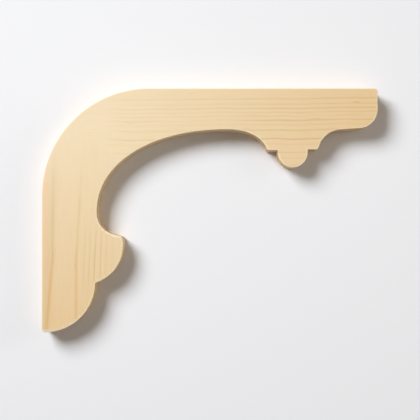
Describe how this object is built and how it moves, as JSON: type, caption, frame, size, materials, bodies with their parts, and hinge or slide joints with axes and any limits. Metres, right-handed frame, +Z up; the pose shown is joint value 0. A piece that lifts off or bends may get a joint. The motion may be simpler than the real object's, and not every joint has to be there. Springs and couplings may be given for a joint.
{
  "type": "scroll corner bracket",
  "caption": "Plain pine corner bracket sawn to a scroll outline, with an oval arch, a half-round drop bead between coves and a lobed foot.",
  "frame": {"origin": "middle of the flat top edge that lies under a beam, halfway through the thickness", "axes": "+Z up out of the top edge, +X along the long arm towards its free end, +Y through the thickness from the front face to the back face"},
  "size_m": [0.3001, 0.02, 0.218],
  "materials": {
    "long_arm_pine": "bare sanded pine, grain level",
    "short_arm_pine": "bare sanded pine, grain upright"
  },
  "bodies": {
    "root": {"long_arm": "long_arm_pine", "short_arm": "short_arm_pine"}
  },
  "joints": []
}
